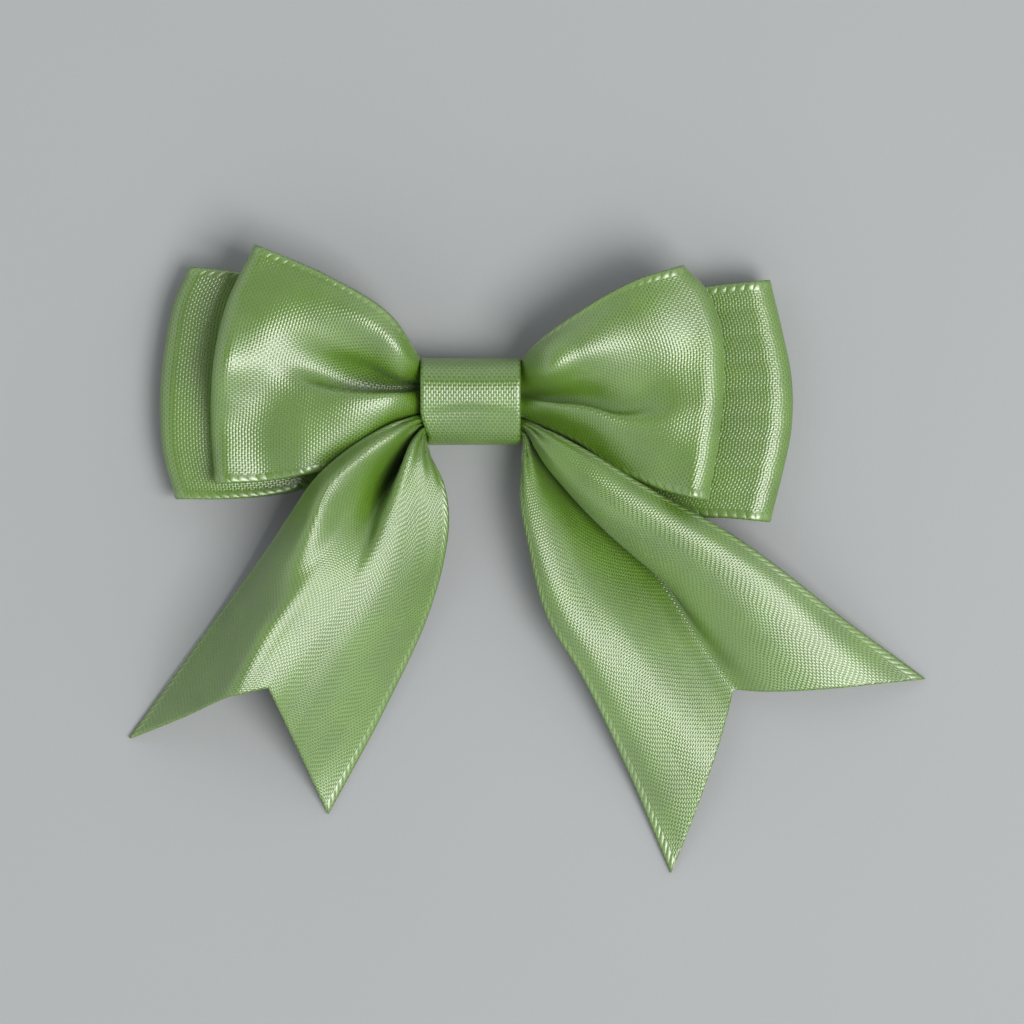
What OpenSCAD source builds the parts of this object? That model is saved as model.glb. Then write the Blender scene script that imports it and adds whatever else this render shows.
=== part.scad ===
// Pre-made double satin bow with two swallow-tail ends, lying on its back.
// +Z points out of the front of the bow and +Y towards the upper edge of its loops.
// The origin is the centre of the centre wrap's back face. All sizes are in millimetres.

/* [Ribbon] */
// Width of the satin ribbon that the loops are made of
loop_w = 25; // [24:0.5:26]
// Width of the satin ribbon that the tails are made of
tail_w = 32; // [30:0.5:33]
// Thickness of the satin ribbons
ribbon_t = 0.3; // [0.2:0.05:0.3]

/* [Knot] */
// Width of the narrow ribbon that wraps the knot, along the bow
wrap_w = 10; // [9:0.5:10]
// Depth of the wrapped knot, from its upper to its lower edge
knot_d = 8.4; // [8.4:0.1:9]
// Height of the wrapped knot, from its inner layer at the back to its front
knot_h = 6.3; // [6.3:0.1:6.8]
// Diameter of the gathering thread
thread_d = 0.3; // [0.2:0.05:0.3]
// Turns of gathering thread
thread_turns = 4; // [2:1:6]

/* [Loops] */
// Height that the front loops' front layer swells by
front_puff = 3.4; // [2.8:0.1:3.8]
// Height that the rear loops' front layer swells by
rear_puff = 2.2; // [1.6:0.1:2.2]
// Depth of the pleat that runs out of the knot along each front loop
pleat_h = 0.7; // [0:0.1:0.8]

/* [Tails] */
// Depth of the V cut into each tail, as a share of the tail's length
notch_share = 0.23; // [0.15:0.01:0.27]
// Height of the crown along the left tail
left_crown = 5.4; // [3:0.1:5.4]
// Height of the hump along the right tail
right_crown = 2.4; // [1:0.1:3]

/* [Hidden] */

satin = [0.56, 0.70, 0.38];
satin_narrow = [0.60, 0.73, 0.44];
thread_green = [0.45, 0.62, 0.30];
hot_melt = [0.90, 0.88, 0.80];

gather_t = 0.65;      // one gathered ribbon layer inside the knot
glue_t = 0.12;        // a squeezed film of hot-melt glue
layer_gap = 0.06;     // air between gathered layers
corner_r = 1.1;       // radius of the knot's corners
thread_gap = 0.05;    // air on both sides of the thread

// Heights inside the knot, from the back to the front
ring_z = ribbon_t + glue_t;                                 // back of the wrap's inner layer
gather_z = ring_z + ribbon_t + thread_d + 2 * thread_gap;   // back of the gathered ribbons
function level(n, glues) = gather_z + (n + 0.5) * gather_t + n * layer_gap + glues * glue_t;
rear_low = level(0, 0);
rear_high = level(1, 1);
rear_front = level(2, 1);
front_low = level(3, 1);
front_high = level(4, 2);
front_front = level(5, 2);

knot_x = wrap_w / 2;        // half the knot's length along the bow
lap_x = 3;                  // how far each lapped ribbon end runs past the middle
loop_top_y = 3.2;           // upper edge of the gathered loops inside the knot
loop_low_y = -1.2;          // lower edge of the gathered loops inside the knot
tail_top_y = -1.4;          // upper edge of the gathered tail ribbon inside the knot
tail_low_y = -3.2;          // lower edge of the gathered tail ribbon inside the knot

columns = 8;                // faces across a ribbon
loop_steps = 30;            // faces along each loop, out and back
tail_steps = 24;            // faces along each tail
fold_share = 0.96;          // chord of an outer fold, as a share of the ribbon's width
press = 2.2;                // how far the tails press down the front loops' lower edges
front_sag = 0.2;            // how far the front loops' back layer swells back
rear_sag = 1.2;             // how far the rear loops' back layer swells back
waist_lift = 0.4;           // from the gathered loops' back up to the gathered tail ribbon's

// Each loop is [side, middle of its outer fold, tilt of the fold, bow of the fold,
//               shoulder of its upper edge, shoulder of its lower edge]
front_left = [-1, [-23.5, 3.6], 10, 1.5, [-11.2, 12.8], [-12.5, -7.4]];
front_right = [1, [22.5, 1.8], -5, 2.3, [12.8, 12.4], [12, -6.2]];
rear_left = [-1, [-29, 2.0], 3, 2.1, [-13, 12.6], [-12.5, -7.2]];
rear_right = [1, [29.9, 0.4], 0, 2.3, [14, 10.8], [13, -6.4]];
front_fold_z = 6.2;
rear_fold_z = 2.0;

// Each tail is [middle of its cut end, angle of the end, chord as a share of the ribbon's width,
//               edge beside the loops, edge beside the other tail], and each edge is the first
//               three points of a Bezier curve from the knot to its tip
left_cut = [[-24.3, -37.5], 158.5, 0.665,
            [[-6.8, -3.4], [-16, -8], [-20, -16]], [[-6.8, -4.9], [0.2, -12], [-2.5, -20]]];
right_cut = [[32.9, -37.7], 37.8, 1,
             [[6.4, -2.8], [17, -8.8], [31, -16]], [[6.2, -4.2], [3.4, -16], [8, -27]]];
tail_root_z = 4.9;          // middle of a tail where it leaves the knot
tail_foot_z = 0.25;         // middle of a tail's tips
tail_climb = 4;             // how far a tail climbs over the loops

function mix(a, b, f) = a + (b - a) * f;
function bezier2(a, b, c, f) = mix(mix(a, b, f), mix(b, c, f), f);
function bezier3(p, tip, f) = mix(bezier2(p[0], p[1], p[2], f), bezier2(p[1], p[2], tip, f), f);
function unit(v) = v / norm(v);

// A closed ribbon on a grid of points down its middle. Row i is as thick as thick[i].
function grid_normal(g, i, j) =
    let (n = len(g) - 1, m = len(g[0]) - 1)
    unit(cross(g[min(i + 1, n)][j] - g[max(i - 1, 0)][j], g[i][min(j + 1, m)] - g[i][max(j - 1, 0)]));

module ribbon_solid(g, thick) {
    n = len(g);
    m = len(g[0]);
    one_side = n * m;
    points = [for (side = [1, -1], i = [0:n - 1], j = [0:m - 1])
        g[i][j] + grid_normal(g, i, j) * side * thick[i] / 2];
    function at(i, j) = i * m + j;
    front = [for (i = [0:n - 2], j = [0:m - 2], half = [0, 1])
        half == 0 ? [at(i, j), at(i, j + 1), at(i + 1, j)] : [at(i + 1, j), at(i, j + 1), at(i + 1, j + 1)]];
    back = [for (f = front) [f[2] + one_side, f[1] + one_side, f[0] + one_side]];
    rim = concat([for (i = [0:n - 2]) [at(i, 0), at(i + 1, 0)]],
                 [for (j = [0:m - 2]) [at(n - 1, j), at(n - 1, j + 1)]],
                 [for (i = [n - 1:-1:1]) [at(i, m - 1), at(i - 1, m - 1)]],
                 [for (j = [m - 1:-1:1]) [at(0, j), at(0, j - 1)]]);
    walls = [for (e = rim, half = [0, 1])
        half == 0 ? [e[0], e[1], e[0] + one_side] : [e[1], e[1] + one_side, e[0] + one_side]];
    polyhedron(points, concat(front, back, walls));
}

// Points across one row of a loop. turn is 0 at the knot on the back layer, 180 at the outer
// fold and 360 at the knot on the front layer; low and front are those layers' heights at the
// knot, and sag and puff are how far the layers swell back and forward.
function loop_row(loop, turn, low, front, fold_z, sag, puff, pleat, pressed) =
    let (out = (1 - cos(turn)) / 2,
         side = loop[0],
         lean = loop_w * fold_share / 2 * [sin(loop[2]), cos(loop[2])],
         upper = bezier2([side * knot_x, loop_top_y], loop[4], loop[1] + lean, out),
         lower = bezier2([side * knot_x, loop_low_y], loop[5], loop[1] - lean, out),
         swell = abs(sin(turn) * sin(turn / 2)),
         is_front = turn > 180,
         layer_z = is_front ? mix(front, fold_z, out) + puff * swell : mix(low, fold_z, out) - sag * swell,
         middle = is_front ? 4 * out * (1 - out) : 0)
    [for (j = [0:columns])
        let (v = 2 * j / columns - 1,
             flat = mix(lower, upper, j / columns) + [side * loop[3] * (1 - v * v) * out, 0],
             dip = middle * (pressed * pow(max(0, -v), 1.5) + pleat * cos(180 * v) * (1 - out)))
        [flat[0], flat[1], layer_z - dip]];

function waist_row(x, z) = [for (j = [0:columns]) [x, mix(loop_low_y, loop_top_y, j / columns), z]];

// Rows of one whole double-loop ribbon: its first end, the left loop, the knot, the right loop
// and its second end, which laps over the first.
function double_loop(left, right, low, high, front, fold_z, sag, puff, pleat, pressed) = concat(
    [waist_row(lap_x, low)],
    [for (k = [0:loop_steps])
        loop_row(left, 360 * k / loop_steps, low, front, fold_z, sag, puff, pleat, pressed)],
    [for (k = [0:loop_steps])
        loop_row(right, 360 - 360 * k / loop_steps, high, front, fold_z, sag, puff, pleat, pressed)],
    [waist_row(-lap_x, high)]);

function loop_thickness() =
    let (one = [for (k = [0:loop_steps])
        mix(ribbon_t, gather_t, pow((1 + cos(360 * k / loop_steps)) / 2, 8))])
    concat([gather_t], one, one, [gather_t]);

module front_loop_ribbon() {
    color(satin)
        ribbon_solid(double_loop(front_left, front_right, front_low, front_high, front_front,
                                 front_fold_z, front_sag, front_puff, pleat_h, press), loop_thickness());
}

module rear_loop_ribbon() {
    color(satin)
        ribbon_solid(double_loop(rear_left, rear_right, rear_low, rear_high, rear_front,
                                 rear_fold_z, rear_sag, rear_puff, 0, 0), loop_thickness());
}

// The middle of the tail ribbon, bunched below the loops inside the knot
module tail_waist() {
    bottom = gather_z + waist_lift;
    color(satin)
        translate([-knot_x, tail_low_y, bottom])
            cube([2 * knot_x, tail_top_y - tail_low_y, front_front - bottom]);
}

// Rows of a tail from the knot to its V-cut end. crown(s, v) is its height above a plain slope.
function tail_rows(cut, crown) =
    let (half_end = tail_w * cut[2] / 2 * [cos(cut[1]), sin(cut[1])])
    [for (i = [0:tail_steps]) [for (j = [0:columns])
        let (v = 1 - 2 * j / columns,
             s = i / tail_steps * (1 - notch_share * (1 - abs(v))),
             flat = mix(bezier3(cut[3], cut[0] + half_end, s), bezier3(cut[4], cut[0] - half_end, s),
                        j / columns),
             slope_z = mix(tail_foot_z, tail_root_z, pow(1 - s, 1.5)) + tail_climb * sin(180 * sqrt(s)))
        [flat[0], flat[1], slope_z + crown(s, v)]]];

function tail_thickness() = [for (i = [0:tail_steps]) mix(ribbon_t, gather_t, pow(1 - i / tail_steps, 6))];

module left_tail() {
    crown = function (s, v) left_crown * (1 - v * v) * pow(sin(180 * pow(s, 1.4)), 0.7);
    color(satin) ribbon_solid(tail_rows(left_cut, crown), tail_thickness());
}

module right_tail() {
    crown = function (s, v) right_crown * sin(180 * pow(s, 0.9)) * sin(180 * abs(v)) * (v > 0 ? 1 : 0.5);
    color(satin) ribbon_solid(tail_rows(right_cut, crown), tail_thickness());
}

// A rectangle with round corners, as circles and squares so that its arcs stay true
module rounded(d, h, r) {
    for (y = [-1, 1], z = [r, h - r])
        translate([y * (d / 2 - r), z]) circle(r, $fn = 64);
    translate([-d / 2, r]) square([d, h - 2 * r]);
    translate([-d / 2 + r, 0]) square([d - 2 * r, h]);
}

// Extrudes a shape drawn in the Y-Z plane to a length along X, centred
module along_x(length) {
    rotate([90, 0, 90]) translate([0, 0, -length / 2]) linear_extrude(length) children();
}

// The wrap is one strip: its inner end starts at the back, it goes once round the knot, and its
// outer end laps over the inner one.
start_y = -1.2;                      // inner end of the wrap
lap_y = knot_d / 2 - corner_r;       // half the lapped end's length, round the knot
module centre_wrap() {
    split_y = start_y - glue_t;
    color(satin_narrow) along_x(wrap_w) {
        difference() {
            translate([0, ring_z]) rounded(knot_d, knot_h, corner_r);
            translate([0, ring_z + ribbon_t])
                rounded(knot_d - 2 * ribbon_t, knot_h - 2 * ribbon_t, corner_r - ribbon_t);
            translate([split_y, ring_z - ribbon_t]) square([glue_t, 3 * ribbon_t]);
        }
        translate([-lap_y, 0]) square([2 * lap_y, ribbon_t]);
        translate([-lap_y, 0]) square([split_y + lap_y, ring_z + ribbon_t / 2]);
    }
}

// A cord of round section, wound round the gathered ribbons on a rectangle with round corners
module gathering_thread() {
    sides = 8;
    corner_steps = 5;
    per_turn = 4 * (corner_steps + 1);
    rings = thread_turns * per_turn;
    inset = ribbon_t + thread_gap + thread_d / 2;
    r = corner_r - inset;
    reach_y = knot_d / 2 - inset - r;
    reach_z = knot_h / 2 - inset - r;
    pitch = thread_d * 1.3;
    function spot(k) =
        let (place = (k + rings) % per_turn,
             corner = floor(place / (corner_steps + 1)),
             angle = 90 * corner + 90 * (place % (corner_steps + 1)) / corner_steps,
             side_y = corner == 0 || corner == 3 ? 1 : -1,
             side_z = corner < 2 ? 1 : -1)
        [pitch * (k / per_turn - thread_turns / 2),
         side_y * reach_y + r * cos(angle),
         ring_z + knot_h / 2 + side_z * reach_z + r * sin(angle)];
    points = [for (k = [0:rings])
        let (along = unit(spot(k + 1) - spot(k - 1)),
             outward = unit(cross(along, [1, 0, 0])),
             across = cross(along, outward))
        for (a = [0:sides - 1])
            spot(k) + thread_d / 2 * (outward * cos(360 * a / sides) + across * sin(360 * a / sides))];
    skin = [for (k = [0:rings - 1], a = [0:sides - 1], half = [0, 1])
        let (p = k * sides + a, q = k * sides + (a + 1) % sides)
        half == 0 ? [p, p + sides, q] : [q, p + sides, q + sides]];
    ends = [[for (a = [0:sides - 1]) a], [for (a = [sides - 1:-1:0]) rings * sides + a]];
    color(thread_green) polyhedron(points, concat(skin, ends));
}

// Film between the lapped ends of a loop ribbon, whose lower end has its middle at z
module lap_film(z) {
    inset = 0.3;
    color(hot_melt)
        translate([inset - lap_x, loop_low_y + inset, z + (gather_t + layer_gap) / 2])
            cube([2 * (lap_x - inset), loop_top_y - loop_low_y - 2 * inset, glue_t]);
}

module front_lap_glue() { lap_film(front_low); }

module rear_lap_glue() { lap_film(rear_low); }

module wrap_glue() {
    inset = 0.6;
    from_y = start_y + glue_t;
    color(hot_melt)
        translate([inset - wrap_w / 2, from_y, ribbon_t])
            cube([wrap_w - 2 * inset, lap_y - inset - from_y, glue_t]);
}

front_loop_ribbon();
rear_loop_ribbon();
tail_waist();
left_tail();
right_tail();
centre_wrap();
gathering_thread();
front_lap_glue();
rear_lap_glue();
wrap_glue();
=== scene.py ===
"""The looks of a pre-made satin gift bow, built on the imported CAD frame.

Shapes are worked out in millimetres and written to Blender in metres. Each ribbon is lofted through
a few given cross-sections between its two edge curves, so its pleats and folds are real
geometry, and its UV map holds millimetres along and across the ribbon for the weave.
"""

import math

import bpy
import numpy as np
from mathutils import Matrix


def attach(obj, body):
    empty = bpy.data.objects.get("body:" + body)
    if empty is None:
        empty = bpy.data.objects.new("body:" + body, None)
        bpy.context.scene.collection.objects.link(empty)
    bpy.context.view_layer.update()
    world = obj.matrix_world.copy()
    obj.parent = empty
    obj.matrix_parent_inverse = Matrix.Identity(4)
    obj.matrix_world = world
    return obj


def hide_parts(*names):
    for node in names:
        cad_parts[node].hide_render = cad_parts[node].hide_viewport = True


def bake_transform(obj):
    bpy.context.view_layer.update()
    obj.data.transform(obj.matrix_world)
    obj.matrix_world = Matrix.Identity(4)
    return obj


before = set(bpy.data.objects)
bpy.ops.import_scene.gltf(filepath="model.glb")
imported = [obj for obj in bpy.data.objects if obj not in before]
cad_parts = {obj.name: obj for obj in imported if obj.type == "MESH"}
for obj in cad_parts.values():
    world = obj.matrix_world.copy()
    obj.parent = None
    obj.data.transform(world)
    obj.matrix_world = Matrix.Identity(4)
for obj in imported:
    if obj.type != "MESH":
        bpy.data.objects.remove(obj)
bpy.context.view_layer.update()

MM = 0.001
ROOT = "knot_and_loops"


# ---- camera, floor and light ----

VIEW_W = 102.4           # width of the view on the floor
VIEW_CENTRE = (4.1, -11.0)
CAMERA_HEIGHT = 800.0
SENSOR_W = 36.0
FLOOR_HALF = 600.0       # half the floor's side
SKY_FADE = (0.68, 0.96)  # heights in the sky, 1 straight up, between which its light changes


def make_camera():
    data = bpy.data.cameras.new("camera")
    data.sensor_width = SENSOR_W
    data.lens = SENSOR_W * CAMERA_HEIGHT / VIEW_W
    data.clip_start, data.clip_end = 0.01, 10
    camera = bpy.data.objects.new("camera", data)
    camera.location = (VIEW_CENTRE[0] * MM, VIEW_CENTRE[1] * MM, CAMERA_HEIGHT * MM)
    bpy.context.scene.collection.objects.link(camera)
    bpy.context.scene.camera = camera


def make_area_light(name, place, size, watts, colour):
    """A square lamp at place, in millimetres, that faces the bow."""
    data = bpy.data.lights.new(name, "AREA")
    data.size = size * MM
    data.energy = watts
    data.color = colour
    lamp = bpy.data.objects.new(name, data)
    lamp.location = [c * MM for c in place]
    lamp.rotation_mode = "QUATERNION"
    lamp.rotation_quaternion = lamp.location.to_track_quat("Z", "Y")
    bpy.context.scene.collection.objects.link(lamp)


def make_world(strength, overhead):
    """Light of the given strength from all round, but only overhead from straight above."""
    world = bpy.data.worlds.new("studio")
    world.use_nodes = True
    nodes, links = world.node_tree.nodes, world.node_tree.links
    place = nodes.new("ShaderNodeTexCoord")
    split = nodes.new("ShaderNodeSeparateXYZ")
    level = nodes.new("ShaderNodeMapRange")
    level.interpolation_type = "SMOOTHSTEP"
    for socket, value in zip(level.inputs[1:5], (*SKY_FADE, strength, overhead)):
        socket.default_value = value
    links.new(place.outputs["Generated"], split.inputs[0])
    links.new(split.outputs["Z"], level.inputs[0])
    background = nodes["Background"]
    background.inputs["Color"].default_value = (0.97, 0.985, 1.0, 1)
    links.new(level.outputs[0], background.inputs["Strength"])
    bpy.context.scene.world = world


# ---- small tools for node materials ----

class Nodes:
    """Makes a material's nodes with short calls."""

    def __init__(self, name):
        self.material = bpy.data.materials.new(name)
        self.material.use_nodes = True
        self.tree = self.material.node_tree
        self.shader = self.tree.nodes["Principled BSDF"]

    def put(self, socket, value):
        if isinstance(value, bpy.types.NodeSocket):
            self.tree.links.new(value, socket)
        else:
            socket.default_value = value

    def add(self, kind, settings=(), **inputs):
        node = self.tree.nodes.new(kind)
        for key, value in dict(settings).items():
            setattr(node, key, value)
        for key, value in inputs.items():
            self.put(node.inputs[key.replace("_", " ")], value)
        return node

    def math(self, operation, *values):
        node = self.add("ShaderNodeMath", {"operation": operation})
        for socket, value in zip(node.inputs, values):
            self.put(socket, value)
        return node.outputs[0]

    def step(self, value, low, high):
        """0 where value is below low and 1 above high, with a smooth change between."""
        node = self.add("ShaderNodeMapRange", {"interpolation_type": "SMOOTHSTEP"})
        for socket, number in zip(node.inputs, (value, low, high)):
            self.put(socket, number)
        return node.outputs[0]

    def mix(self, share, a, b):
        node = self.add("ShaderNodeMix", {"data_type": "RGBA"})
        self.put(node.inputs[0], share)
        self.put(node.inputs[6], a)
        self.put(node.inputs[7], b)
        return node.outputs[2]

    def noise(self, size_mm, detail=2.0):
        """Noise from 0 to 1 whose blobs are about size_mm across."""
        place = self.add("ShaderNodeTexCoord").outputs["Object"]
        node = self.add("ShaderNodeTexNoise", Vector=place, Scale=1 / (size_mm * MM), Detail=detail)
        return node.outputs[0]

    def bump(self, height, depth_mm):
        node = self.add("ShaderNodeBump", Height=height, Distance=depth_mm * MM, Strength=1.0)
        return node.outputs[0]

    def set(self, **inputs):
        for key, value in inputs.items():
            self.put(self.shader.inputs[key.replace("_", " ")], value)


# ---- materials ----

WARP_PITCH = 0.25        # from one warp thread to the next, across the ribbon
DIP_SHARE = 0.30         # from a dip to where the thread is fully up, as a share of the float
WEAVE_DEPTH = 0.030
STITCH_RISE = 2.0        # height of the selvedge's stitches, in weave depths
STITCH_LEAN = 0.6        # how far a stitch leans along the ribbon, for each step across it
RIBBON_GREEN = (0.113, 0.238, 0.009, 1)
# Painted shade: the colour that the weave's dips are darkened towards.
RIBBON_WEAVE_SHADE = (0.022, 0.070, 0.001, 1)
RIBBON_PALE = (0.200, 0.330, 0.085, 1)
WEAVE_SHADE_SHARE = 0.75        # painted shade: how far the weave's dips go towards the shade colour
FLECK_SHARE = 0.15       # how far small flecks go towards RIBBON_PALE
STITCH_HIGHLIGHT_SHARE = 0.4       # painted highlight: how far the stitches' raised tops go towards RIBBON_PALE


def weave(n, along, across, float_l, rib_share):
    """Satin: warp threads that float along the ribbon and dip under the weft every float_l, every
    second one half a float later. Returns the height from 0 to 1."""
    thread = n.math("DIVIDE", across, WARP_PITCH)
    stagger = n.math("MULTIPLY", n.math("FLOORED_MODULO", n.math("FLOOR", thread), 2.0), 0.5)
    place = n.math("FRACT", n.math("ADD", n.math("DIVIDE", along, float_l), stagger))
    from_dip = n.math("MINIMUM", place, n.math("SUBTRACT", 1.0, place))
    floating = n.step(from_dip, 0.0, DIP_SHARE)
    rounding = n.math("SINE", n.math("MULTIPLY", n.math("FRACT", thread), math.pi))
    rib = n.math("ABSOLUTE", n.math("SINE", n.math("MULTIPLY", along, 2 * math.pi / float_l)))
    threads = n.math("MULTIPLY", floating, n.math("MULTIPLY_ADD", rounding, 0.6, 0.4))
    threads = n.math("MULTIPLY", threads, 1 - rib_share)
    return n.math("ADD", threads, n.math("MULTIPLY", rib, rib_share))


def stitches(n, along, from_edge, width, pitch):
    """A corded edge: rounded loops of thread that lean along the ribbon. Returns their height and
    a mask of the band that they fill."""
    band = n.step(from_edge, width, width * 0.8)
    slant = n.math("ADD", along, n.math("MULTIPLY", from_edge, STITCH_LEAN))
    loops = n.math("ABSOLUTE", n.math("SINE", n.math("MULTIPLY", slant, math.pi / pitch)))
    bead = n.math("MAXIMUM", n.math("SINE", n.math("MULTIPLY", from_edge, math.pi / width)), 0.0)
    return n.math("MULTIPLY", n.math("POWER", loops, 0.8), bead), band


def satin_material(name, width, float_l, rib_share, selvedge=None):
    """Woven satin. The UV map holds millimetres: x along the ribbon and y across it. float_l is the
    length of the warp's floats, rib_share is how much of the height the weft's ribs make up, and
    selvedge is the width of the corded edge and the pitch of its stitches."""
    n = Nodes(name)
    uv = n.add("ShaderNodeUVMap", {"uv_map": "ribbon"}).outputs[0]
    along, across = n.add("ShaderNodeSeparateXYZ", Vector=uv).outputs[:2]
    height = weave(n, along, across, float_l, rib_share)
    brighter = tuple(c * 1.25 for c in RIBBON_GREEN[:3]) + (1,)
    colour = n.mix(n.step(n.noise(5.0), 0.3, 0.7), RIBBON_GREEN, brighter)
    # Painted shade: the lower a point lies in the weave, the darker it is painted, as if shaded
    # between the threads.
    depth = n.math("SUBTRACT", 1.0, height)
    colour = n.mix(n.math("MULTIPLY", depth, WEAVE_SHADE_SHARE), colour, RIBBON_WEAVE_SHADE)
    flecks = n.step(n.noise(0.3, 3.0), 0.45, 0.75)
    colour = n.mix(n.math("MULTIPLY", flecks, FLECK_SHARE), colour, RIBBON_PALE)
    if selvedge:
        from_edge = n.math("MINIMUM", across, n.math("SUBTRACT", width, across))
        stitch, band = stitches(n, along, from_edge, *selvedge)
        # Painted highlight: the stitches' raised tops are made paler.
        painted_stitch_highlight = n.math("MULTIPLY", stitch, band)
        colour = n.mix(n.math("MULTIPLY", painted_stitch_highlight, STITCH_HIGHLIGHT_SHARE), colour, RIBBON_PALE)
        chosen = n.add("ShaderNodeMix", {"data_type": "FLOAT"})
        for socket, value in ((0, band), (2, height), (3, n.math("MULTIPLY", stitch, STITCH_RISE))):
            n.put(chosen.inputs[socket], value)
        height = chosen.outputs[0]
    n.set(Base_Color=colour, Normal=n.bump(height, WEAVE_DEPTH), Roughness=0.34, Anisotropic=0.4,
          Anisotropic_Rotation=0.25, Sheen_Weight=0.08, Sheen_Roughness=0.35, IOR=1.75)
    n.put(n.shader.inputs["Specular IOR Level"], 1.0)
    tangent = n.add("ShaderNodeTangent", {"direction_type": "UV_MAP", "uv_map": "ribbon"})
    n.put(n.shader.inputs["Tangent"], tangent.outputs[0])
    return n.material


def thread_material():
    """Twisted polyester: fine ridges that lean round the thread, with painted shade in the grooves
    and lighter ridge tops.
    """
    n = Nodes("thread")
    place = n.add("ShaderNodeTexCoord").outputs["Object"]
    wave = n.add("ShaderNodeTexWave", {"bands_direction": "DIAGONAL"}, Vector=place, Scale=900.0,
                 Distortion=0.5)
    twist = wave.outputs[1]
    # Painted shade: the twist's grooves are darker and its ridges lighter.
    colour = n.mix(twist, (0.12, 0.22, 0.04, 1), (0.30, 0.44, 0.14, 1))
    n.set(Base_Color=colour, Normal=n.bump(twist, 0.04), Roughness=0.5, Sheen_Weight=0.2)
    return n.material


def glue_material():
    """Set hot-melt glue: waxy, cloudy and slightly see-through."""
    n = Nodes("hot_melt_glue")
    cloud = n.noise(1.2)
    colour = n.mix(cloud, (0.74, 0.69, 0.52, 1), (0.86, 0.84, 0.73, 1))
    n.set(Base_Color=colour, Normal=n.bump(n.noise(0.5), 0.03), Roughness=n.step(cloud, -0.6, 2.4),
          Subsurface_Weight=0.3, Subsurface_Scale=0.001)
    return n.material


def floor_material():
    """Plain painted board."""
    n = Nodes("floor")
    colour = n.mix(n.noise(40.0), (0.352, 0.367, 0.378, 1), (0.372, 0.385, 0.392, 1))
    n.set(Base_Color=colour, Normal=n.bump(n.noise(0.8, 4.0), 0.02), Roughness=0.7)
    return n.material


# ---- curves and lofts ----

SPACING = 0.42           # from one point of a ribbon's mesh to the next
EDGE_STEPS = np.array([0, 0.25, 0.5, 0.75, 1.0, 1.25])   # places at a selvedge, from the edge
EDGE_W = 1.6             # from the edge to the first of the evenly spaced places
FINE = 321               # points that a cross-section is measured with


def through(values, knots, x):
    """Smooth cubic curve through values, a row for each of knots, at every x."""
    values, knots, x = np.asarray(values, float), np.asarray(knots, float), np.asarray(x, float)
    slope = np.gradient(values, knots, axis=0)
    k = np.clip(np.searchsorted(knots, x, side="right") - 1, 0, len(knots) - 2)
    gap = knots[k + 1] - knots[k]
    f = (x - knots[k]) / gap
    extra = (1,) * (values.ndim - 1)
    f, gap = f.reshape(f.shape + extra), gap.reshape(gap.shape + extra)
    return ((2 * f**3 - 3 * f**2 + 1) * values[k] + (f**3 - 2 * f**2 + f) * gap * slope[k]
            + (3 * f**2 - 2 * f**3) * values[k + 1] + (f**3 - f**2) * gap * slope[k + 1])


def outline(points):
    """A curve through points as a function of the share of its length."""
    points = np.array(points, float)
    run = length_to(points)
    return lambda x: through(points, run / run[-1], x)


def straight(a, b):
    a, b = np.array(a, float), np.array(b, float)
    return lambda x: a + (b - a) * np.asarray(x)[..., None]


class Panel:
    """A stretch of ribbon, seen from above, between four outlines. s runs from the near outline to
    the far one, and p across it from the lower outline, 0, to the upper one, 1."""

    def __init__(self, lower, upper, far=None):
        self.lower, self.upper = outline(lower), outline(upper)
        self.near = straight(lower[0], upper[0])
        self.far = outline(far) if far else straight(lower[-1], upper[-1])

    def at(self, s, p):
        s, p = np.broadcast_arrays(np.asarray(s, float), np.asarray(p, float))
        a, b = s[..., None], p[..., None]
        zero, one = np.zeros(()), np.ones(())
        corners = ((1 - a) * (1 - b) * self.near(zero) + (1 - a) * b * self.near(one)
                   + a * (1 - b) * self.far(zero) + a * b * self.far(one))
        return ((1 - a) * self.near(p) + a * self.far(p)
                + (1 - b) * self.lower(s) + b * self.upper(s) - corners)


def columns_of(width):
    """Places across a ribbon, as shares of its width, closer together at the selvedges."""
    middle = np.linspace(EDGE_W, width - EDGE_W, round((width - 2 * EDGE_W) / SPACING))
    return np.r_[EDGE_STEPS, middle, width - EDGE_STEPS[::-1]] / width


def length_to(points):
    """Distance along a line of points from its start to each of them."""
    return np.r_[0, np.cumsum(np.linalg.norm(np.diff(points, axis=0), axis=1))]


def loft(panel, stations, s, shares, gather=(0, 0, 0)):
    """Points on a ribbon. stations maps s to its cross-section, a list of (p, height), with the
    same count in each. shares are the places across the ribbon, by length along the section.
    gather is the count and height of the small pleats at the knot and the s where they end."""
    count, size, end = gather
    knots = sorted(stations)
    sections = through([stations[k] for k in knots], knots, s)
    fine = np.linspace(0, 1, FINE)
    rows = []
    for at, section in zip(s, sections):
        q = through(section, np.linspace(0, 1, len(section)), fine)
        plan, height = panel.at(np.full(len(fine), at), q[:, 0]), q[:, 1]
        if at < end:
            height = height - size * (1 - at / end) ** 2 * np.sin(math.pi * count * fine) ** 2
        points = np.c_[plan, height]
        run = length_to(points)
        row = [np.interp(shares * run[-1], run, points[:, c]) for c in range(3)]
        rows.append(np.stack(row, axis=1))
    return np.array(rows)


# ---- ribbons as thin closed meshes ----

RIBBON_T = 0.24
BEAD_T = 0.12            # extra thickness at a selvedge
BEAD_W = 1.3             # from the edge to where that ends
EVENED = 0.6             # how far lengths along a ribbon are evened out across it


def grid_normals(grid):
    across = np.gradient(grid, axis=1)
    along = np.gradient(grid, axis=0)
    normal = np.cross(along, across)
    return normal / np.maximum(np.linalg.norm(normal, axis=2, keepdims=True), 1e-9)


def lengths_along(grid):
    """Distance along the ribbon at each point, partly evened out across it."""
    steps = np.linalg.norm(np.diff(grid, axis=0), axis=2)
    run = np.vstack([np.zeros(grid.shape[1]), np.cumsum(steps, axis=0)])
    return (1 - EVENED) * run + EVENED * run.mean(axis=1, keepdims=True)


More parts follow.
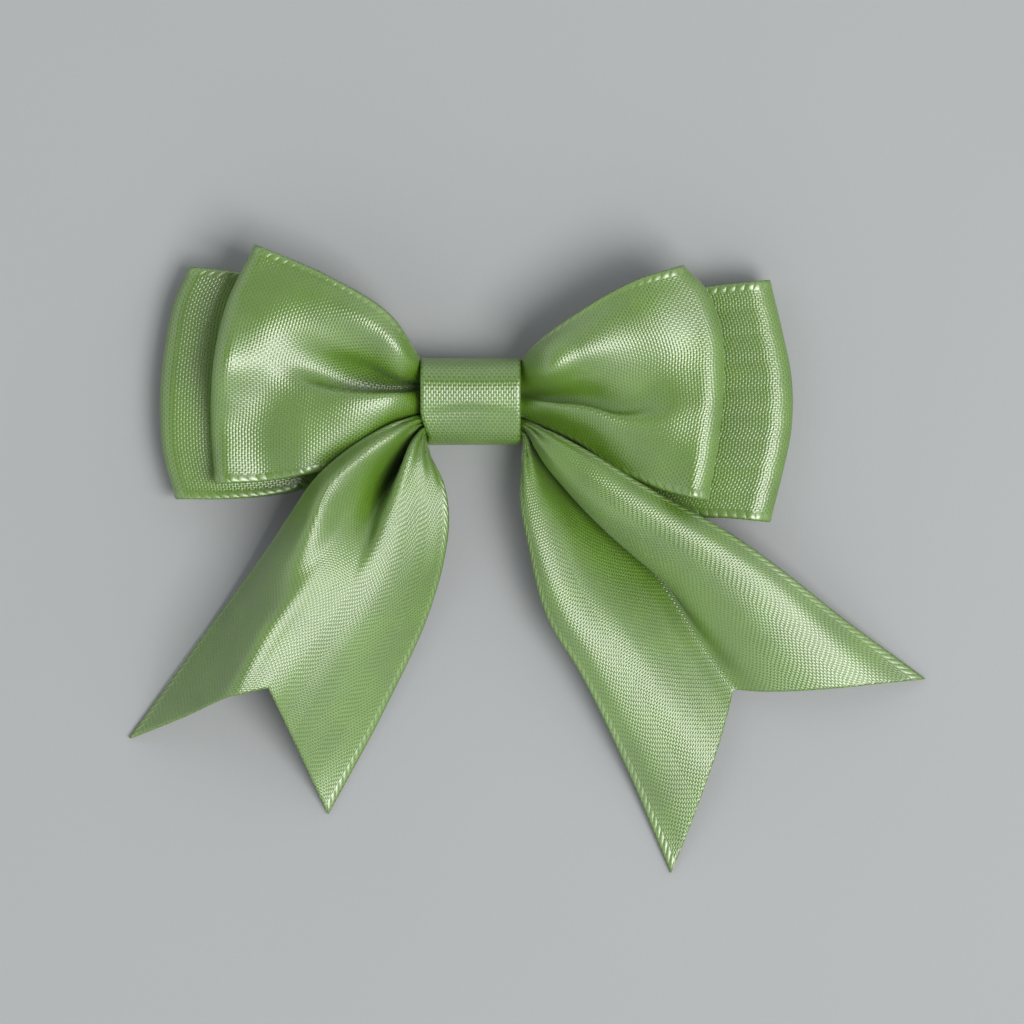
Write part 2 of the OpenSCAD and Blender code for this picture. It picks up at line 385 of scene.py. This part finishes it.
def closed_piece(name, points, faces, material):
    """A smooth-shaded piece, from points in metres."""
    mesh = bpy.data.meshes.new(name)
    mesh.from_pydata(points.tolist(), [], faces)
    mesh.polygons.foreach_set("use_smooth", np.ones(len(faces), bool))
    mesh.materials.append(material)
    mesh.update()
    piece = bpy.data.objects.new(name, mesh)
    bpy.context.scene.collection.objects.link(piece)
    return piece


def ribbon_piece(name, grid, width, shares, material, bead=BEAD_T):
    """A closed ribbon whose middle runs through grid, in millimetres."""
    rows, cols = grid.shape[:2]
    from_edge = np.minimum(shares, 1 - shares) * width
    rounding = np.clip(from_edge * 4 + 0.3, 0, 1)
    thick = RIBBON_T + bead * np.clip(BEAD_W - from_edge, 0, 1) * rounding
    offset = grid_normals(grid) * (thick / 2)[None, :, None]
    points = np.concatenate([(grid + offset).reshape(-1, 3), (grid - offset).reshape(-1, 3)]) * MM
    index = np.arange(rows * cols).reshape(rows, cols)
    a, b, c, d = index[:-1, :-1], index[1:, :-1], index[1:, 1:], index[:-1, 1:]
    front = np.stack([a, b, c, d], axis=-1).reshape(-1, 4)
    back = front[:, ::-1] + rows * cols
    ring = np.r_[index[0, :], index[1:, -1], index[-1, -2::-1], index[-2:0:-1, 0]]
    after = np.roll(ring, -1)
    wall = np.stack([ring, after, after + rows * cols, ring + rows * cols], axis=-1)
    faces = np.concatenate([front, back, wall])
    piece = closed_piece(name, points, faces.tolist(), material)
    across = np.broadcast_to(shares * width, (rows, cols))
    uv = np.stack([lengths_along(grid), across], axis=-1).reshape(-1, 2)
    uv = np.concatenate([uv, uv])[faces.reshape(-1)]
    piece.data.uv_layers.new(name="ribbon").data.foreach_set("uv", uv.astype(np.float32).ravel())
    return piece


# ---- loops ----

LOOP_W = 25.0
LOOP_COLUMNS = columns_of(LOOP_W)
BEND_STEP = 15           # degrees from row to row round the outer fold
PLEATS = 9               # small pleats across a gathered layer


def height_at(fold, p):
    """Height at p of a fold that is given by heights evenly spaced across the ribbon."""
    return through(fold, np.linspace(0, 1, len(fold)), p)


def waves(base, size, edge=0.0):
    """A cross-section whose small pleats rise by size above base, and its two edges by edge."""
    middle = [(k / (2 * PLEATS), base + size * (k % 2)) for k in range(1, 2 * PLEATS)]
    return [(0, base + edge)] + middle + [(1, base + edge)]


class Loop:
    """One side of a double loop: a back layer, a round bend at the outer fold and a front layer.
    fold holds the heights of the bend's middle, evenly spaced across the ribbon. bend_r is its
    radius, and reach is the distance from the knot to it. front and back hold the stations between
    them, from 0 at the knot to 1 where the bend starts."""

    def __init__(self, panel, front, back, fold, bend_r, reach):
        self.panel, self.front, self.back = panel, dict(front), dict(back)
        self.bend = bend_r / reach
        self.fold, self.bend_r = fold, bend_r
        self.rows = round(reach / SPACING)
        self.front[1.0] = [(p, height_at(fold, p) + bend_r) for p, _ in front[max(front)]]
        self.back[1.0] = [(p, height_at(fold, p) - bend_r) for p, _ in back[max(back)]]

    def layer(self, stations, s):
        scaled = {k * (1 - self.bend): v for k, v in stations.items()}
        return loft(self.panel, scaled, s, LOOP_COLUMNS)

    def grid(self):
        """Rows from the knot, out on the back layer, round the fold and back on the front layer."""
        s = np.linspace(0, 1 - self.bend, self.rows)
        front, back = self.layer(self.front, s), self.layer(self.back, s)
        bend = []
        for angle in np.radians(np.arange(BEND_STEP, 180, BEND_STEP)):
            row = self.panel.at(1 - self.bend + self.bend * math.sin(angle), LOOP_COLUMNS)
            height = height_at(self.fold, LOOP_COLUMNS) - self.bend_r * math.cos(angle)
            bend.append(np.c_[row, height])
        return np.concatenate([back, np.array(bend), front[::-1]])


KNOT_HALF = 4.9          # from the middle of the knot to where the loops come out
KNOT_SQUEEZE = 0.80      # breadth of the gathered loops inside the knot, as a share of that outside
SQUEEZE_OVER = 1.5       # how far inside the knot they are fully drawn together
KNOT_ROWS = 24           # rows of mesh across the knot
LAP = 7.5                # how far each end of a strip reaches into the knot
LAP_ROWS = 14


def squeezed(rows):
    """Rows drawn together across the bow the further they are inside the knot."""
    depth = np.clip((KNOT_HALF - np.abs(rows[..., 0])) / SQUEEZE_OVER, 0, 1)
    rows = rows.copy()
    rows[..., 1] *= 1 - (1 - KNOT_SQUEEZE) * depth
    return rows


def slid(row, x_shift, lift=0.0):
    """Rows that carry row on along x, inside the knot, and rise by lift over the first third."""
    return np.array([row + np.array([x_shift * k / LAP_ROWS, 0, lift * min(1, 3 * k / LAP_ROWS)])
                     for k in range(1, LAP_ROWS + 1)])


def across_knot(first, last):
    """Evenly spaced rows from first to last, on the two sides of the knot."""
    share = np.linspace(0, 1, KNOT_ROWS)[:, None, None]
    return first * (1 - share) + last * share


def double_loop(left, right, lap_lift):
    """The whole strip: first end, left loop, knot, right loop and second end, which laps the
    first."""
    left_grid, right_grid = left.grid(), right.grid()[::-1]
    first_end = squeezed(slid(left_grid[0], LAP)[::-1])
    middle = squeezed(across_knot(left_grid[-1], right_grid[0])[1:-1])
    second_end = squeezed(slid(right_grid[-1], -LAP, lap_lift))
    return np.concatenate([first_end, left_grid, middle, right_grid, second_end])


# Heights of the gathered layers inside the knot
REAR_BACK, REAR_FRONT, FRONT_BACK = 1.2, 1.95, 2.55
REAR_LAP, FRONT_LAP = 0.33, 0.32   # how far each strip's second end lies above its first
GATHER = 0.45            # height of the pleats inside the knot

front_left = Loop(
    Panel(lower=[(-4.9, -1.4), (-9, -4.6), (-15.4, -7.0), (-20, -7.9), (-25.3, -8.2)],
          upper=[(-4.9, 3.8), (-7.9, 8.4), (-13.8, 12.2), (-21.3, 15.5)],
          far=[(-25.3, -8.2), (-25.7, -1.5), (-25.3, 4.2), (-24.1, 9.6), (-21.3, 15.5)]),
    front={
        0.0: [(0, 3.5), (.12, 4.6), (.24, 5.0), (.34, 4.9), (.42, 4.4), (.47, 3.5), (.54, 3.3),
              (.60, 3.5), (.68, 4.7), (.86, 5.1), (1, 4.2)],
        0.14: [(0, 3.5), (.12, 5.2), (.24, 6.7), (.34, 7.3), (.42, 7.1), (.38, 4.9), (.47, 3.6),
               (.57, 4.2), (.61, 6.3), (.83, 8.0), (1, 6.9)],
        0.36: [(0, 4.7), (.12, 6.9), (.23, 8.0), (.34, 8.5), (.42, 8.1), (.38, 5.4), (.47, 4.3),
               (.59, 5.3), (.67, 7.3), (.85, 9.2), (1, 8.3)],
        0.62: [(0, 6.6), (.12, 7.4), (.25, 7.8), (.36, 8.0), (.44, 7.9), (.48, 7.2), (.53, 6.8),
               (.60, 7.2), (.71, 8.5), (.87, 9.2), (1, 8.6)],
        0.85: [(0, 6.0), (.12, 6.4), (.25, 6.8), (.36, 7.4), (.45, 8.2), (.50, 8.6), (.55, 8.8),
               (.62, 8.9), (.74, 8.9), (.88, 8.6), (1, 8.1)],
    },
    back={0.0: waves(FRONT_BACK, GATHER), 0.15: waves(2.85, 0.6), 0.4: waves(3.2, 1.0),
          0.8: waves(5.6, 0.1)},
    fold=[5.5, 5.7, 8.5, 7.3, 6.8], bend_r=1.2, reach=19)

front_right = Loop(
    Panel(lower=[(5.0, -1.4), (11.6, -4.7), (14.3, -6.9), (16.5, -7.8), (19.4, -8.9), (23.4, -9.9)],
          upper=[(4.9, 3.8), (6.5, 5.6), (10.9, 8.9), (16.5, 12.0), (21.0, 13.4)],
          far=[(23.4, -9.9), (24.3, -5.1), (25.0, 1.6), (24.6, 7.6), (23.3, 11.0), (21.0, 13.4)]),
    front={
        0.0: [(0, 3.5), (.10, 4.3), (.22, 4.7), (.33, 4.4), (.38, 3.6), (.46, 3.8), (.58, 4.8),
              (.72, 5.1), (.88, 5.0), (1, 4.2)],
        0.14: [(0, 3.8), (.10, 4.7), (.20, 5.8), (.29, 6.3), (.26, 4.8), (.40, 4.5), (.52, 6.8),
               (.66, 8.6), (.87, 8.2), (1, 6.6)],
        0.36: [(0, 4.6), (.10, 5.5), (.20, 6.6), (.30, 7.2), (.29, 5.8), (.40, 5.4), (.53, 7.4),
               (.70, 9.3), (.87, 9.0), (1, 7.8)],
        0.62: [(0, 5.6), (.10, 6.3), (.20, 7.1), (.30, 7.6), (.34, 6.8), (.42, 6.7), (.56, 7.9),
               (.72, 9.1), (.87, 9.0), (1, 8.2)],
        0.85: [(0, 7.0), (.12, 7.6), (.22, 8.1), (.32, 8.4), (.40, 8.2), (.48, 8.2), (.58, 8.5),
               (.73, 9.1), (.87, 9.1), (1, 8.6)],
    },
    back={0.0: waves(FRONT_BACK, GATHER), 0.15: waves(2.95, 1.0), 0.4: waves(3.5, 1.2),
          0.8: waves(4.8, 0.1)},
    fold=[6.8, 6.8, 6.8], bend_r=1.7, reach=19)

REAR_BACK_STATIONS = {0.0: waves(REAR_BACK, GATHER, edge=0.35), 0.15: waves(0.75, 0.7),
                      0.4: waves(0.3, 1.0), 0.7: waves(0.6, 0.3), 0.88: waves(0.9, 0.05)}

rear_left = Loop(
    Panel(lower=[(-4.9, -1.4), (-11, -6.2), (-17.7, -8.9), (-24.4, -9.7), (-29.3, -9.7)],
          upper=[(-4.9, 3.8), (-9, 8.4), (-15, 11.4), (-23, 12.9), (-27.9, 13.4)],
          far=[(-29.3, -9.7), (-30.6, -5.0), (-30.9, 0.0), (-30.4, 5.6), (-29.4, 10.2),
               (-27.9, 13.4)]),
    front={0.0: waves(REAR_FRONT, GATHER), 0.15: waves(2.05, 0.6), 0.35: waves(1.7, 1.1),
           0.6: waves(3.0, 0.1), 0.88: waves(3.7, 0.0)},
    back=REAR_BACK_STATIONS,
    fold=[2.4, 2.4, 2.4], bend_r=1.2, reach=25)

rear_right = Loop(
    Panel(lower=[(5.0, -1.4), (12, -7.0), (18, -10.0), (23.0, -11.5), (25.4, -11.6), (29.7, -12.0)],
          upper=[(4.9, 3.8), (11, 7.8), (17, 10.2), (23.4, 11.4), (29.7, 12.1)],
          far=[(29.7, -12.0), (30.8, -7.8), (31.9, -2.2), (31.9, 2.0), (30.9, 7.2), (29.7, 12.1)]),
    front={0.0: waves(REAR_FRONT, GATHER), 0.15: waves(2.05, 0.6), 0.35: waves(1.7, 1.1),
           0.6: waves(3.2, 0.1), 0.88: waves(4.3, 0.0)},
    back=REAR_BACK_STATIONS,
    fold=[2.8, 2.8, 2.8], bend_r=1.8, reach=25)


# ---- tails ----

TAIL_W = 32.0
TAIL_GATHER = (8, 1.8, 0.2)   # count and height of the pleats, and the share of the tail they reach
NOTCH = 0.23             # depth of the V cut, as a share of the tail's length
TAIL_COLUMNS = columns_of(TAIL_W)
TABLE_ROWS = 160         # rows of the uncut tail, from which the V-cut one is taken


def tail_grid(panel, stations, reach):
    """Rows from inside the knot to the V-cut end. reach is about the tail's length."""
    table_s = np.linspace(0, 1, TABLE_ROWS)
    table = loft(panel, stations, table_s, TAIL_COLUMNS, TAIL_GATHER)
    rows = np.linspace(0, 1, round(reach / SPACING))
    ends = 1 - NOTCH * (1 - np.abs(2 * TAIL_COLUMNS - 1))
    grid = np.empty((len(rows), len(TAIL_COLUMNS), 3))
    for j, end in enumerate(ends):
        grid[:, j] = through(table[:, j], table_s, rows * end)
    return grid


left_tail_panel = Panel(
    lower=[(-3.2, -3.1), (-4.5, -3.7), (-4.2, -5.0), (-2.7, -8.3), (-2.2, -11.6), (-2.6, -15.2),
           (-4.0, -20.3), (-8.4, -30.1), (-14.3, -41.2)],
    upper=[(-3.4, -1.5), (-5.1, -1.5), (-9.9, -3.4), (-13.2, -5.7), (-15.5, -7.9), (-17.7, -11.0),
           (-20.0, -14.4), (-25.8, -22.2), (-34.1, -33.6)])

LEFT_TAIL = {
    0.0: [(0, 3.5), (.12, 3.7), (.24, 3.9), (.34, 3.9), (.42, 3.7), (.50, 3.6), (.58, 3.7),
          (.72, 4.0), (.88, 3.9), (1, 3.6)],
    0.07: [(0, 4.8), (.12, 5.6), (.26, 6.3), (.40, 6.8), (.52, 6.8), (.50, 4.0), (.54, 2.8),
           (.68, 6.4), (.86, 7.1), (1, 6.4)],
    0.2: [(0, 5.5), (.11, 6.1), (.25, 6.8), (.38, 7.5), (.50, 7.9), (.52, 4.2), (.56, 2.4),
          (.67, 6.2), (.87, 9.1), (1, 7.2)],
    0.3: [(0, 4.4), (.11, 5.5), (.25, 6.8), (.37, 7.8), (.47, 8.0), (.51, 6.3), (.56, 5.8),
          (.70, 8.0), (.90, 10.2), (1, 6.9)],
    0.4: [(0, 2.6), (.10, 4.4), (.22, 6.2), (.33, 7.5), (.44, 8.2), (.50, 8.0), (.57, 8.3),
          (.70, 9.3), (.87, 10.5), (1, 4.8)],
    0.65: [(0, 1.1), (.11, 3.2), (.24, 5.4), (.36, 7.1), (.46, 8.2), (.54, 8.9), (.62, 9.4),
           (.75, 10.0), (.88, 5.6), (1, 0.8)],
    0.85: [(0, 0.4), (.11, 2.1), (.24, 4.0), (.36, 5.6), (.46, 6.9), (.54, 7.9), (.62, 8.5),
           (.72, 8.5), (.87, 4.2), (1, 0.4)],
    1.0: [(0, 0.25), (.11, 1.2), (.24, 2.4), (.36, 3.5), (.46, 4.3), (.54, 4.8), (.62, 5.2),
          (.71, 5.0), (.88, 2.5), (1, 0.25)],
}

right_tail_panel = Panel(
    lower=[(3.5, -3.1), (5.1, -3.5), (5.1, -6.2), (5.0, -10.3), (5.7, -14.1), (7.9, -22.1),
           (10.5, -26.3), (15.2, -35.8), (20.0, -47.1)],
    upper=[(3.6, -1.5), (5.1, -1.9), (10.5, -4.4), (16.5, -8.0), (26.1, -13.4), (31.2, -17.0),
           (36.0, -20.8), (45.4, -27.7)])

RIGHT_TAIL = {
    0.0: [(0, 3.5), (.12, 3.7), (.26, 3.9), (.38, 3.7), (.5, 3.6), (.62, 3.8), (.76, 4.0),
          (.9, 3.9), (1, 3.6)],
    0.08: [(0, 4.6), (.10, 5.3), (.28, 5.0), (.46, 3.0), (.58, 2.0), (.51, 4.9), (.66, 6.6),
           (.88, 6.7), (1, 5.7)],
    0.2: [(0, 5.6), (.10, 6.1), (.30, 5.3), (.46, 3.4), (.60, 1.4), (.54, 4.6), (.63, 7.3),
          (.86, 8.0), (1, 7.0)],
    0.4: [(0, 4.6), (.10, 5.7), (.28, 4.9), (.50, 2.2), (.64, 1.0), (.60, 4.0), (.73, 7.0),
          (.89, 7.7), (1, 6.2)],
    0.65: [(0, 2.6), (.10, 3.6), (.27, 3.8), (.44, 2.4), (.54, 1.7), (.61, 3.6), (.77, 5.6),
           (.91, 5.9), (1, 4.8)],
    0.85: [(0, 0.8), (.11, 1.9), (.27, 2.6), (.42, 2.1), (.52, 1.5), (.62, 2.5), (.77, 3.5),
           (.90, 3.4), (1, 1.8)],
    1.0: [(0, 0.25), (.12, 0.9), (.28, 1.6), (.42, 1.4), (.52, 1.2), (.64, 1.6), (.78, 2.1),
          (.90, 1.6), (1, 0.25)],
}


# ---- centre wrap ----

WRAP_W = 10.0
WRAP_LEFT, WRAP_RIGHT = -5.0, 4.95
WRAP_COLUMNS = np.linspace(0, 1, 26)
WRAP_ROWS = 210
CREASE_DEPTH = 0.35      # how far the front falls in each millimetre below its arched crease
CREASE_REACH = 0.7       # and over how many millimetres
# The wrap's path in the Y-Z plane, from its inner end at the back, once round to its lapped end
WRAP_PATH = [(-1.2, .57), (1.0, .57), (3.0, .62), (3.95, 1.2), (4.2, 2.6), (4.15, 4.2), (3.8, 5.4),
             (3.1, 6.2), (2.2, 6.62), (1.1, 6.66), (-.1, 6.4), (-1.3, 5.95), (-2.4, 5.35),
             (-3.3, 4.65), (-3.95, 3.7), (-4.2, 2.3), (-4.0, .9), (-3.2, .22), (-1.5, .15),
             (1.0, .15), (3.0, .15)]


def wrap_grid():
    """The strip along WRAP_PATH. Its left edge is drawn in below the middle, where an arched crease
    crosses its front."""
    path = outline(WRAP_PATH)(np.linspace(0, 1, WRAP_ROWS))
    grid = np.empty((len(path), len(WRAP_COLUMNS), 3))
    hollow = np.sin(math.pi * WRAP_COLUMNS)       # 0 at the edges and 1 in the middle
    for i, (y, z) in enumerate(path):
        front = min(1.0, max(0.0, (z - 2.5) / 2))  # 0 at the back and 1 over the front
        left = WRAP_LEFT + 1.1 * max(0.0, (-y - 1.0) / 3.0) ** 1.5 * front
        grid[i, :, 0] = left + (WRAP_RIGHT - left) * WRAP_COLUMNS
        grid[i, :, 1] = y * (1 - 0.02 * hollow * front)
        below_crease = np.clip(0.6 * hollow - 0.8 - y, 0, CREASE_REACH)
        grid[i, :, 2] = z - CREASE_DEPTH * hollow * front * below_crease
    return grid


# ---- what the wrap hides ----

THREAD_D = 0.3
THREAD_TURNS = 4
THREAD_PITCH = 1.3       # from turn to turn, in thread diameters
TURN_STEPS = 40          # points in a turn
TURN_CENTRE = (0.1, 3.12)          # y and z
TURN_HALF = (3.62, 2.25)           # half the oval's size along y and z


def thread_route():
    """Turns of thread round the gathered ribbons, as an oval that slides along the bow. Its front
    half leans with the layers, which are higher towards the loops' upper edges."""
    angle = np.linspace(0, THREAD_TURNS * 2 * math.pi, THREAD_TURNS * TURN_STEPS + 1)
    y = TURN_CENTRE[0] + TURN_HALF[0] * np.sign(np.cos(angle)) * np.abs(np.cos(angle)) ** 0.55
    rise = np.sign(np.sin(angle)) * np.abs(np.sin(angle)) ** 0.7
    z = TURN_CENTRE[1] + TURN_HALF[1] * rise + 0.18 * y * np.maximum(rise, 0)
    x = THREAD_D * THREAD_PITCH * (angle / (2 * math.pi) - THREAD_TURNS / 2)
    return np.stack([x, y, z], axis=1)


def twisted_tube(name, route, radius, material, sides=12, lobe=0.14, twists_per_mm=0.7):
    """A closed tube along route whose two plies twist round each other."""
    along = np.gradient(route, axis=0)
    along /= np.linalg.norm(along, axis=1, keepdims=True)
    outward = np.cross(along, [1.0, 0, 0])
    outward /= np.linalg.norm(outward, axis=1, keepdims=True)
    across = np.cross(along, outward)
    run = length_to(route)
    points = []
    for k in range(sides):
        angle = 2 * math.pi * k / sides
        ply = 1 + lobe * np.cos(2 * (angle - 2 * math.pi * twists_per_mm * run))
        spoke = outward * math.cos(angle) + across * math.sin(angle)
        points.append(route + radius * ply[:, None] * spoke)
    points = np.stack(points, axis=1).reshape(-1, 3) * MM
    last = (len(route) - 1) * sides
    faces = []
    for ring in range(0, last, sides):
        for k in range(sides):
            after = (k + 1) % sides
            faces.append((ring + k, ring + after, ring + sides + after, ring + sides + k))
    faces += [tuple(range(sides))[::-1], tuple(range(last, last + sides))]
    return closed_piece(name, points, faces, material)


def glue_film(name, centre, reach, thickness, surface_z, material, phase):
    """A squeezed patch of glue that thins towards its wavy rim. centre and reach are its middle and
    half its size, surface_z(y) is the height of its middle above centre, and phase sets the
    waves."""
    rings, spokes = 8, 64
    angle = np.arange(spokes) * 2 * math.pi / spokes
    rim = 1 + 0.07 * np.sin(3 * angle + phase) + 0.04 * np.sin(7 * angle + 2 * phase)
    box = (np.abs(np.cos(angle)) ** 4 + np.abs(np.sin(angle)) ** 4) ** -0.25
    points = []
    for side, last in ((1, rings), (-1, rings - 1)):   # the two sides share the outermost ring
        for ring in range(1, last + 1):
            out = ring / rings
            x = centre[0] + reach[0] * out * rim * box * np.cos(angle)
            y = centre[1] + reach[1] * out * rim * box * np.sin(angle)
            half = thickness / 2 * (1 - out**4)
            points.append(np.stack([x, y, centre[2] + surface_z(y) + side * half], axis=1))
    for side in (1, -1):
        z = centre[2] + surface_z(centre[1]) + side * thickness / 2
        points.append([[centre[0], centre[1], z]])
    points = np.concatenate(points)
    top = (2 * rings - 1) * spokes     # index of the middle point of the upper side
    faces = []
    for k in range(spokes):
        after = (k + 1) % spokes
        for ring in range(rings - 1):
            a, b = ring * spokes, (ring + 1) * spokes
            faces.append((a + k, b + k, b + after, a + after))
            a, b = (rings + ring) * spokes, (rings + ring + 1) * spokes
            if ring == rings - 2:
                b = (rings - 1) * spokes
            faces.append((a + after, b + after, b + k, a + k))
        faces.append((top, k, after))
        faces.append((top + 1, rings * spokes + after, rings * spokes + k))
    return closed_piece(name, points * MM, faces, material)


def pleats_of(loop, lift):
    """Height of a loop's back layer at the knot, as a function of y inside the knot."""
    row = loop.layer(loop.back, np.array([0.0]))[0]
    y, z = row[:, 1] * KNOT_SQUEEZE, row[:, 2] + lift
    return lambda at: np.interp(at, y, z)


# ---- build ----


def build_loops(ribbon):
    rear_grid = double_loop(rear_left, rear_right, REAR_LAP)
    rear = ribbon_piece("rear_loops", rear_grid, LOOP_W, LOOP_COLUMNS, ribbon)
    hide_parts("rear_loop_ribbon")
    front_grid = double_loop(front_left, front_right, FRONT_LAP)
    front = ribbon_piece("front_loops", front_grid, LOOP_W, LOOP_COLUMNS, ribbon)
    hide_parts("front_loop_ribbon")
    for piece in (rear, front):
        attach(piece, ROOT)


def build_tails(wide):
    """One ribbon in three pieces: the two tails bend at the knot and the waist stays in it."""
    left_grid = tail_grid(left_tail_panel, LEFT_TAIL, reach=48)
    right_grid = tail_grid(right_tail_panel, RIGHT_TAIL, reach=52)
    waist_grid = across_knot(left_grid[0], right_grid[0])
    left = ribbon_piece("left_tail_ribbon", left_grid, TAIL_W, TAIL_COLUMNS, wide)
    right = ribbon_piece("right_tail_ribbon", right_grid, TAIL_W, TAIL_COLUMNS, wide)
    waist = ribbon_piece("tail_ribbon_waist", waist_grid, TAIL_W, TAIL_COLUMNS, wide)
    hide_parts("left_tail")
    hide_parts("right_tail")
    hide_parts("tail_waist")
    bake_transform(left)
    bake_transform(right)
    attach(waist, ROOT)


def build_wrap(narrow, glue):
    wrap = ribbon_piece("centre_wrap_ribbon", wrap_grid(), WRAP_W, WRAP_COLUMNS, narrow, bead=0.03)
    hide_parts("centre_wrap")
    film = glue_film("wrap_glue_film", centre=(0, 0.9, 0.36), reach=(4.2, 1.4), thickness=0.09,
                     surface_z=lambda y: 0.0 * y, material=glue, phase=0.4)
    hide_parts("wrap_glue")
    thread = twisted_tube("gathering_thread_turns", thread_route(), THREAD_D / 2, thread_material())
    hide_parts("gathering_thread")
    for piece in (wrap, film, thread):
        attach(piece, ROOT)


def build_lap_glue(glue):
    for node, loop, lift, phase in (("front_lap_glue", front_left, FRONT_LAP, 1.3),
                                    ("rear_lap_glue", rear_left, REAR_LAP, 2.6)):
        film = glue_film(node + "_film", centre=(0, 0.4, 0), reach=(2.1, 1.5), thickness=0.06,
                         surface_z=pleats_of(loop, lift / 2), material=glue, phase=phase)
        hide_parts(node)
        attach(film, ROOT)


def build():
    ribbon = satin_material("satin_ribbon", LOOP_W, float_l=0.60, rib_share=0.35,
                            selvedge=(1.0, 0.95))
    wide = satin_material("satin_tail_ribbon", TAIL_W, float_l=0.52, rib_share=0.15,
                          selvedge=(1.05, 0.8))
    narrow = satin_material("narrow_satin_ribbon", WRAP_W, float_l=0.7, rib_share=0.1)
    glue = glue_material()
    build_loops(ribbon)
    build_tails(wide)
    build_wrap(narrow, glue)
    build_lap_glue(glue)


def make_floor():
    mesh = bpy.data.meshes.new("floor")
    half = FLOOR_HALF * MM
    corners = [(-half, -half, 0), (half, -half, 0), (half, half, 0), (-half, half, 0)]
    mesh.from_pydata(corners, [], [(0, 1, 2, 3)])
    floor = bpy.data.objects.new("floor", mesh)
    mesh.materials.append(floor_material())
    bpy.context.scene.collection.objects.link(floor)


make_camera()
bpy.context.scene.view_settings.view_transform = "Standard"
make_world(strength=0.80, overhead=0.06)
make_area_light("key", place=(480, -310, 940), size=650, watts=10.4, colour=(1.0, 0.99, 0.96))
build()
make_floor()
